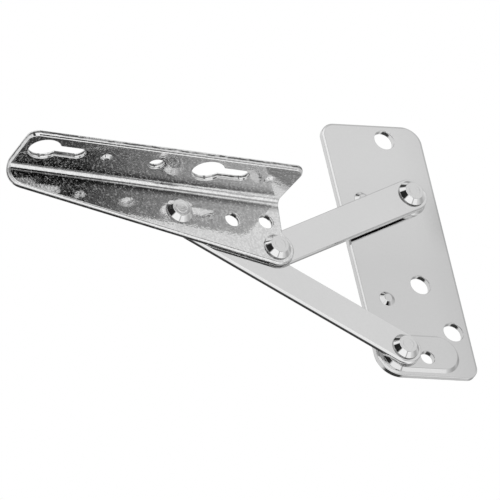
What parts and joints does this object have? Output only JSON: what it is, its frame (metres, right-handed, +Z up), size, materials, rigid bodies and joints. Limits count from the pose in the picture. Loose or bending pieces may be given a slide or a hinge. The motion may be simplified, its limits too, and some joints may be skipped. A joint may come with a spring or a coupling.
{
  "type": "four-link flap hinge",
  "caption": "Four-link flap hinge of bright zinc-plated sheet: a screw-on cabinet plate with a pressed boss and pad, two riveted flat links and a keyholed angle bracket.",
  "frame": {"origin": "axis of the plate's upper screw hole, on the plate's back face", "axes": "+Z up the plate, -Y out of the plate's front towards the bracket's flange edge, +X from the bracket to the plate"},
  "size_m": [0.1633, 0.027, 0.099],
  "materials": {
    "zinc_sheet": "bright zinc plating, glossy",
    "zinc_rivet": "bright zinc plating, glossy"
  },
  "bodies": {
    "cabinet_plate": {"plate": "zinc_sheet", "plate_rivet": "zinc_rivet", "foot_rivet_tail": "zinc_rivet"},
    "short_arm": {"short_link": "zinc_sheet"},
    "flap_bracket": {"bracket": "zinc_sheet", "flap_rivets": "zinc_rivet"},
    "long_arm": {"long_link": "zinc_sheet", "foot_rivet": "zinc_rivet"}
  },
  "joints": [
    {"name": "short_arm_on_plate", "type": "hinge", "parent": "cabinet_plate", "child": "short_arm", "pos_m": [0.00332, -0.004, -0.02313], "axis": [0, -1, 0], "range_deg": [-109.01, 0]},
    {"name": "bracket_on_short_arm", "type": "hinge", "parent": "short_arm", "child": "flap_bracket", "pos_m": [-0.05408, -0.005, -0.04861], "axis": [0, -1, 0], "range_deg": [0, 204.16]},
    {"name": "long_arm_on_bracket", "type": "hinge", "parent": "flap_bracket", "child": "long_arm", "pos_m": [-0.08809, -0.005, -0.0362], "axis": [0, -1, 0], "range_deg": [-153.6, 0]}
  ],
  "couplings": [
    {"joint": "bracket_on_short_arm", "follows": "short_arm_on_plate", "ratio": -1.8724},
    {"joint": "long_arm_on_bracket", "follows": "short_arm_on_plate", "ratio": 1.4086}
  ]
}
